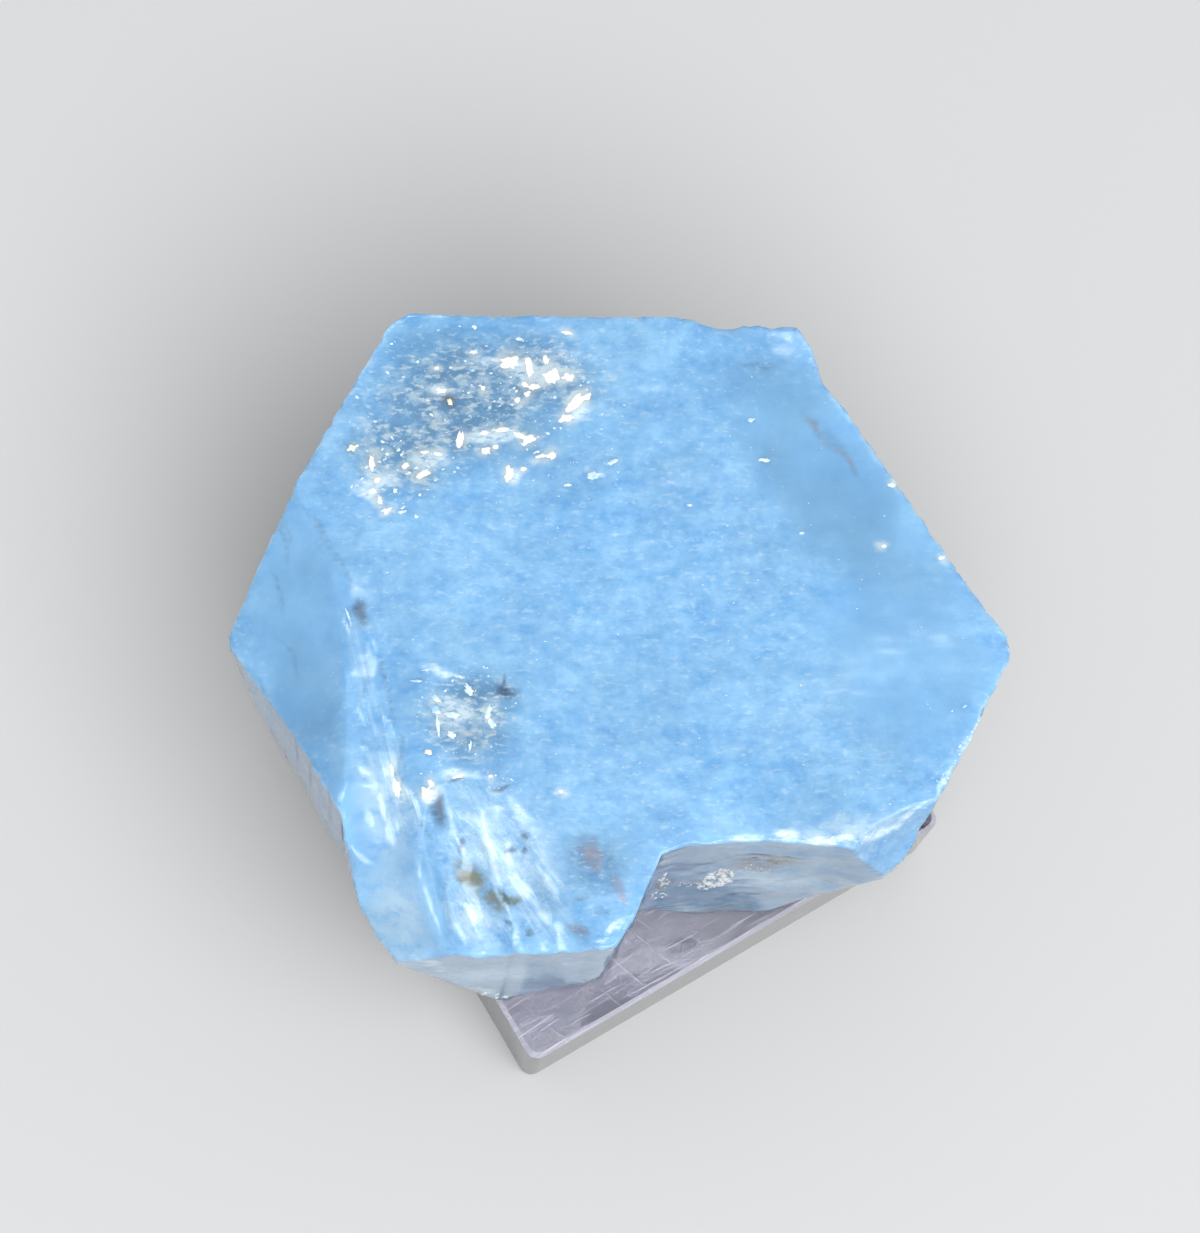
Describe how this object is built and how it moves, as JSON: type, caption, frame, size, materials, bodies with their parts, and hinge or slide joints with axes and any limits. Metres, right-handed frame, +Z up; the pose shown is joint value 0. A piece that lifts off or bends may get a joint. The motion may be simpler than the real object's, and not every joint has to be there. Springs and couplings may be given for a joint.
{
  "type": "aquamarine crystal on a clear display block",
  "caption": "Short hexagonal pale blue crystal with a flat end, broken corners and a broken root, standing on a clear bevelled square block.",
  "frame": {"origin": "centre of the display block's underside, on the surface it stands on", "axes": "+Z up along the crystal's prism axis, +X along the crystal's back prism face, -Y towards the front face with the missing corner"},
  "size_m": [0.0446, 0.04, 0.038],
  "materials": {
    "clear_acrylic": "clear polished acrylic with fine scratches",
    "aquamarine": "natural milky pale blue beryl, glassy on fresh breaks"
  },
  "bodies": {
    "root": {"acrylic_block": "clear_acrylic", "aquamarine_crystal": "aquamarine"}
  },
  "joints": []
}
